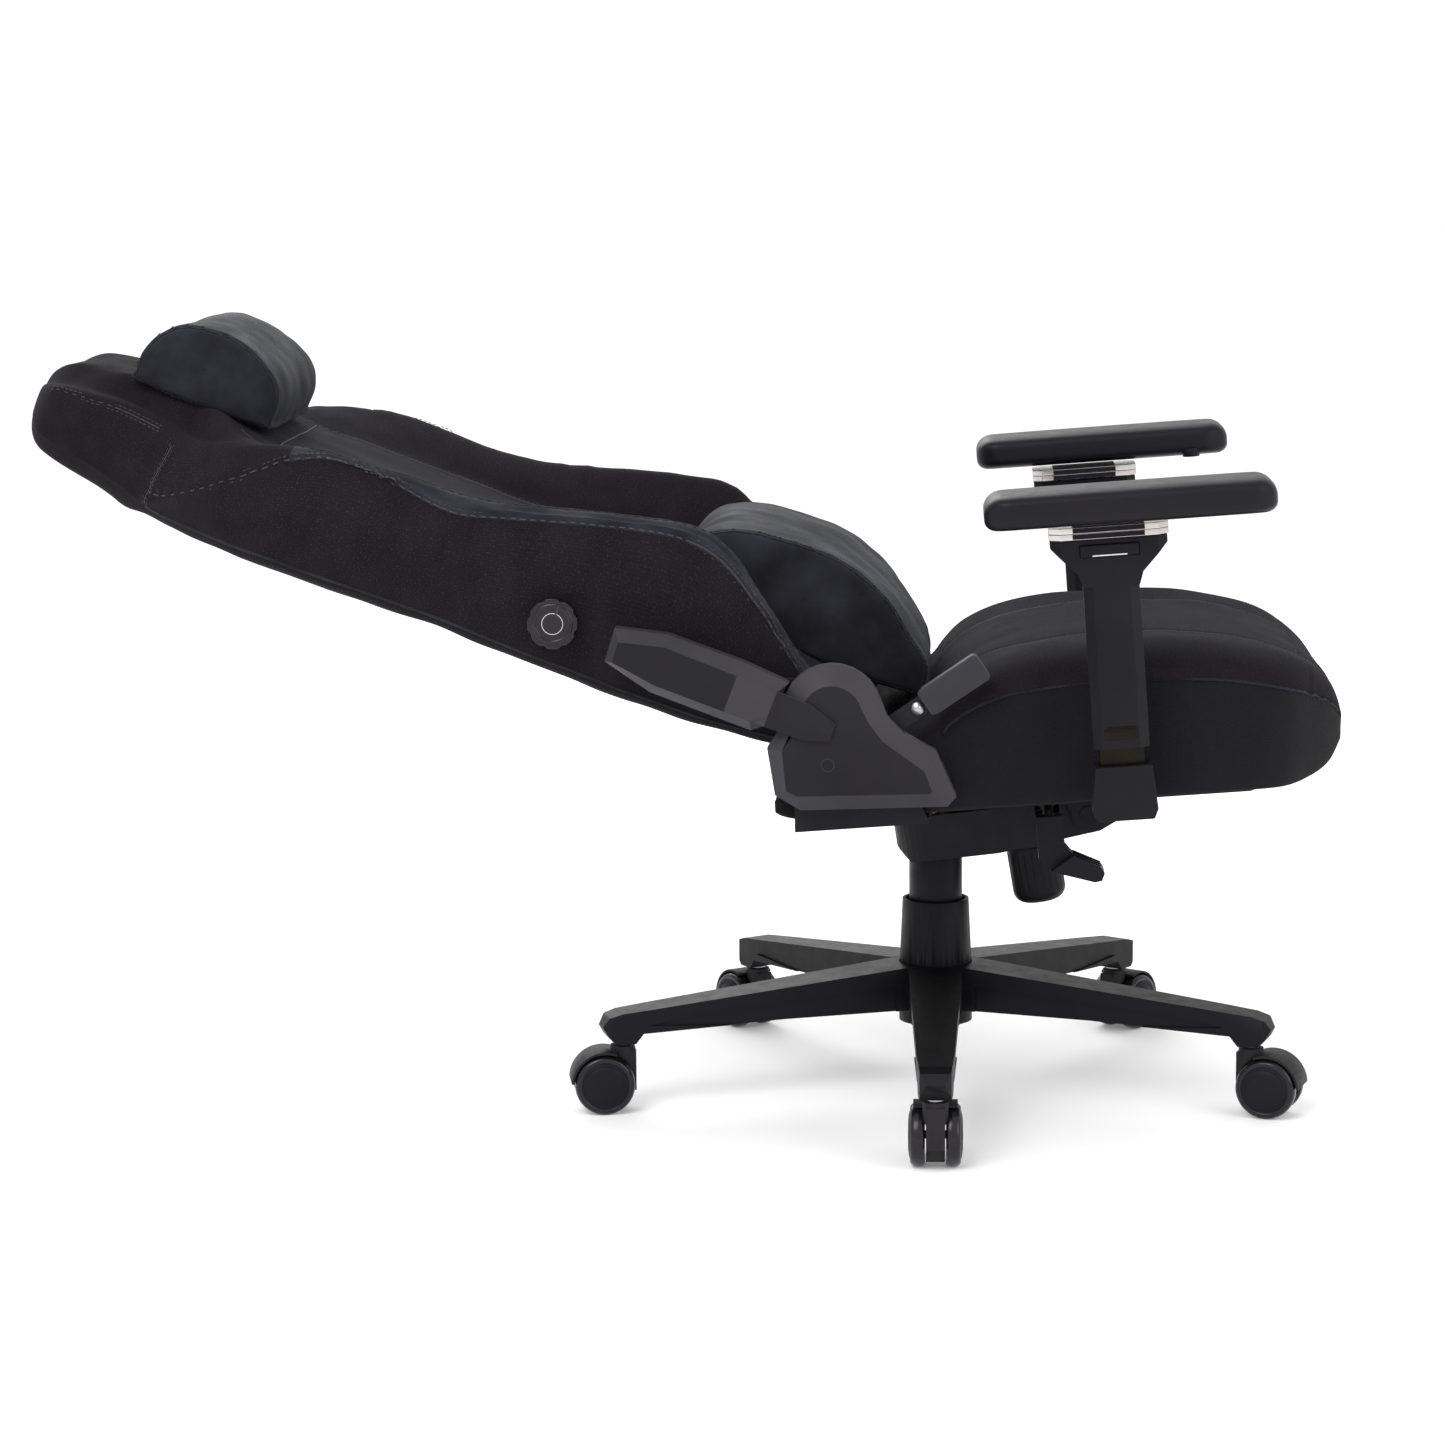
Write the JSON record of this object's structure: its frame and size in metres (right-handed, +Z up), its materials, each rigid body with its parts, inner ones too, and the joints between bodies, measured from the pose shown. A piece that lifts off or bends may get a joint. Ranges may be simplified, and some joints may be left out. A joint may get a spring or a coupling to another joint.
{
  "type": "reclining gaming chair",
  "caption": "Reclining high-back gaming chair with winged back, head and lumbar pillows, adjustable armrests and a caster base.",
  "frame": {"origin": "on the floor, on the axis of the gas-lift column", "axes": "+X forwards, the way the sitter faces; +Y to the sitter's left; +Z up"},
  "size_m": [1.2988, 0.742, 0.788],
  "materials": {
    "seat_fabric": "woven, matt",
    "velour": "short pile",
    "trim_plastic": "fine grain",
    "arm_pad": "soft satin",
    "base_nylon": "satin",
    "wheel_plastic": "gloss rim",
    "black_steel": "powder coat",
    "bright_steel": "machined",
    "chrome": "polished",
    "bush_plastic": "moulded",
    "brass": "turned",
    "plywood": "plain"
  },
  "bodies": {
    "base": {"base_star": "base_nylon", "column_tube": "black_steel", "guide_bush": "bush_plastic", "thrust_bearing": "bright_steel", "lower_shroud": "base_nylon", "caster_stems": "bright_steel"},
    "rod": {"piston_rod": "bright_steel"},
    "column": {"gas_cylinder": "black_steel", "upper_shroud": "base_nylon", "mechanism_housing": "black_steel", "tilt_shaft": "bright_steel", "tension_spring": "bright_steel"},
    "valve": {"valve_pin": "brass"},
    "lever": {"lever_bush": "black_steel", "lever_rod": "black_steel"},
    "lever_paddle": {"lever_handle": "base_nylon"},
    "tension": {"tension_knob": "base_nylon"},
    "seat": {"seat_plate": "black_steel", "spring_yoke": "black_steel", "seat_bolts": "bright_steel", "seat_board": "plywood", "seat_cushion": "seat_fabric", "recliner_plates": "black_steel", "recliner_pins": "bright_steel", "lower_covers": "trim_plastic", "arm_feet": "trim_plastic", "arm_posts": "chrome"},
    "recline_handle": {"recline_lever_bar": "black_steel", "recline_lever_grip": "trim_plastic"},
    "back": {"back_frame": "black_steel", "back_arm_plates": "black_steel", "back_bolts": "bright_steel", "back_cushion": "seat_fabric", "upper_covers": "trim_plastic"},
    "lumbar_dial": {"lumbar_knob": "wheel_plastic"},
    "lumbar_support": {"lumbar_plate": "bush_plastic"},
    "lumbar_pillow": {"lumbar_pillow": "velour"},
    "head_pillow": {"head_pillow": "velour"},
    "arm_right": {"arm_right_sleeve": "trim_plastic"},
    "arm_right_button": {"arm_right_button": "trim_plastic"},
    "arm_right_table": {"arm_right_turntable": "chrome"},
    "arm_right_slide": {"arm_right_slider": "chrome"},
    "arm_right_pad": {"arm_right_pad": "arm_pad"},
    "arm_right_pad_button": {"arm_right_pad_button": "trim_plastic"},
    "arm_left": {"arm_left_sleeve": "trim_plastic"},
    "arm_left_button": {"arm_left_button": "trim_plastic"},
    "arm_left_table": {"arm_left_turntable": "chrome"},
    "arm_left_slide": {"arm_left_slider": "chrome"},
    "arm_left_pad": {"arm_left_pad": "arm_pad"},
    "arm_left_pad_button": {"arm_left_pad_button": "trim_plastic"},
    "caster_1": {"caster_1_hood": "base_nylon"},
    "caster_1_rollers": {"caster_1_wheels": "wheel_plastic"},
    "caster_2": {"caster_2_hood": "base_nylon"},
    "caster_2_rollers": {"caster_2_wheels": "wheel_plastic"},
    "caster_3": {"caster_3_hood": "base_nylon"},
    "caster_3_rollers": {"caster_3_wheels": "wheel_plastic"},
    "caster_4": {"caster_4_hood": "base_nylon"},
    "caster_4_rollers": {"caster_4_wheels": "wheel_plastic"},
    "caster_5": {"caster_5_hood": "base_nylon"},
    "caster_5_rollers": {"caster_5_wheels": "wheel_plastic"}
  },
  "joints": [
    {"name": "seat_swivel", "type": "hinge", "parent": "base", "child": "rod", "pos_m": [0, 0, 0], "axis": [0, 0, 1], "continuous": true},
    {"name": "seat_height", "type": "slide", "parent": "rod", "child": "column", "axis": [0, 0, 1], "range_m": [-0.025, 0.055]},
    {"name": "valve_press", "type": "slide", "parent": "column", "child": "valve", "axis": [0, 0, -1], "range_m": [0, 0.0045]},
    {"name": "lever_lift", "type": "hinge", "parent": "column", "child": "lever", "pos_m": [0.10973, -0.057, 0.30767], "axis": [-0.9976, 0, -0.0698], "range_deg": [0, 4], "stiffness_Nm_per_rad": 3, "springref_deg": -17.19},
    {"name": "lever_pull", "type": "slide", "parent": "lever", "child": "lever_paddle", "axis": [0, -1, 0], "range_m": [0, 0.012]},
    {"name": "tension_turn", "type": "hinge", "parent": "column", "child": "tension", "pos_m": [0.09383, 0, 0.27686], "axis": [-0.1564, 0, 0.9877], "range_deg": [-1080, 1080]},
    {"name": "seat_tilt", "type": "hinge", "parent": "column", "child": "seat", "pos_m": [0.15075, 0, 0.2945], "axis": [0, -1, 0], "range_deg": [0, 9], "stiffness_Nm_per_rad": 200, "springref_deg": -28.65, "deforming": ["tension_spring"]},
    {"name": "recline", "type": "hinge", "parent": "seat", "child": "back", "pos_m": [-0.0971, 0, 0.42704], "axis": [0, 1, 0], "range_deg": [0, 65]},
    {"name": "recline_lever", "type": "hinge", "parent": "seat", "child": "recline_handle", "pos_m": [-0.07175, -0.27, 0.39422], "axis": [0, -1, 0], "range_deg": [0, 30], "stiffness_Nm_per_rad": 1.5, "springref_deg": -28.65},
    {"name": "lumbar_turn", "type": "hinge", "parent": "back", "child": "lumbar_dial", "pos_m": [-0.36086, -0.265, 0.51007], "axis": [0, -1, 0], "range_deg": [0, 540]},
    {"name": "lumbar_push", "type": "slide", "parent": "back", "child": "lumbar_support", "axis": [0.3584, 0, 0.9336], "range_m": [0, 0.0197]},
    {"name": "lumbar_pillow_slide", "type": "slide", "parent": "back", "child": "lumbar_pillow", "axis": [-0.9336, 0, 0.3584], "range_m": [0, 0.06]},
    {"name": "head_pillow_lift", "type": "slide", "parent": "back", "child": "head_pillow", "axis": [0.3584, 0, 0.9336], "range_m": [0, 0.2]},
    {"name": "arm_right_height", "type": "slide", "parent": "seat", "child": "arm_right", "axis": [-0.0698, 0, 0.9976], "range_m": [-0.015, 0.06]},
    {"name": "arm_right_button_press", "type": "slide", "parent": "arm_right", "child": "arm_right_button", "axis": [0, 1, 0], "range_m": [0, 0.004], "stiffness_N_per_m": 600, "springref_m": -0.003},
    {"name": "arm_right_turn", "type": "hinge", "parent": "arm_right", "child": "arm_right_table", "pos_m": [0.15875, -0.302, 0.59579], "axis": [-0.0698, 0, 0.9976], "range_deg": [-25, 25]},
    {"name": "arm_right_sideways", "type": "slide", "parent": "arm_right_table", "child": "arm_right_slide", "axis": [0, 1, 0], "range_m": [-0.015, 0.015]},
    {"name": "arm_right_fore_aft", "type": "slide", "parent": "arm_right_slide", "child": "arm_right_pad", "axis": [0.9976, 0, 0.0698], "range_m": [-0.03, 0.03]},
    {"name": "arm_right_release", "type": "slide", "parent": "arm_right_pad", "child": "arm_right_pad_button", "axis": [0, -1, 0], "range_m": [0, 0.003], "stiffness_N_per_m": 400, "springref_m": -0.003},
    {"name": "arm_left_height", "type": "slide", "parent": "seat", "child": "arm_left", "axis": [-0.0698, 0, 0.9976], "range_m": [-0.015, 0.06]},
    {"name": "arm_left_button_press", "type": "slide", "parent": "arm_left", "child": "arm_left_button", "axis": [0, -1, 0], "range_m": [0, 0.004], "stiffness_N_per_m": 600, "springref_m": -0.003},
    {"name": "arm_left_turn", "type": "hinge", "parent": "arm_left", "child": "arm_left_table", "pos_m": [0.15875, 0.302, 0.59579], "axis": [-0.0698, 0, 0.9976], "range_deg": [-25, 25]},
    {"name": "arm_left_sideways", "type": "slide", "parent": "arm_left_table", "child": "arm_left_slide", "axis": [0, 1, 0], "range_m": [-0.015, 0.015]},
    {"name": "arm_left_fore_aft", "type": "slide", "parent": "arm_left_slide", "child": "arm_left_pad", "axis": [0.9976, 0, 0.0698], "range_m": [-0.03, 0.03]},
    {"name": "arm_left_release", "type": "slide", "parent": "arm_left_pad", "child": "arm_left_pad_button", "axis": [0, 1, 0], "range_m": [0, 0.003], "stiffness_N_per_m": 400, "springref_m": -0.003},
    {"name": "caster_1_swivel", "type": "hinge", "parent": "base", "child": "caster_1", "pos_m": [0, -0.328, 0.068], "axis": [0, 0, 1], "continuous": true},
    {"name": "caster_1_roll", "type": "hinge", "parent": "caster_1", "child": "caster_1_rollers", "pos_m": [0, -0.309, 0.03], "axis": [-1, 0, 0], "continuous": true},
    {"name": "caster_2_swivel", "type": "hinge", "parent": "base", "child": "caster_2", "pos_m": [0.31195, -0.10136, 0.068], "axis": [0, 0, 1], "continuous": true},
    {"name": "caster_2_roll", "type": "hinge", "parent": "caster_2", "child": "caster_2_rollers", "pos_m": [0.33002, -0.10723, 0.03], "axis": [0.309, 0.9511, 0], "continuous": true},
    {"name": "caster_3_swivel", "type": "hinge", "parent": "base", "child": "caster_3", "pos_m": [0.19279, 0.26536, 0.068], "axis": [0, 0, 1], "continuous": true},
    {"name": "caster_3_roll", "type": "hinge", "parent": "caster_3", "child": "caster_3_rollers", "pos_m": [0.20396, 0.28073, 0.03], "axis": [-0.809, 0.5878, 0], "continuous": true},
    {"name": "caster_4_swivel", "type": "hinge", "parent": "base", "child": "caster_4", "pos_m": [-0.19279, 0.26536, 0.068], "axis": [0, 0, 1], "continuous": true},
    {"name": "caster_4_roll", "type": "hinge", "parent": "caster_4", "child": "caster_4_rollers", "pos_m": [-0.20396, 0.28073, 0.03], "axis": [-0.809, -0.5878, 0], "continuous": true},
    {"name": "caster_5_swivel", "type": "hinge", "parent": "base", "child": "caster_5", "pos_m": [-0.31195, -0.10136, 0.068], "axis": [0, 0, 1], "continuous": true},
    {"name": "caster_5_roll", "type": "hinge", "parent": "caster_5", "child": "caster_5_rollers", "pos_m": [-0.33071, -0.10433, 0.03], "axis": [0.1564, -0.9877, 0], "continuous": true}
  ],
  "couplings": [
    {"joint": "valve_press", "follows": "lever_lift", "m_per_rad": 0.062},
    {"joint": "lumbar_turn", "follows": "lumbar_push", "rad_per_m": 476.2},
    {"joint": "lumbar_pillow_slide", "follows": "recline", "m_per_rad": 0.0528}
  ]
}
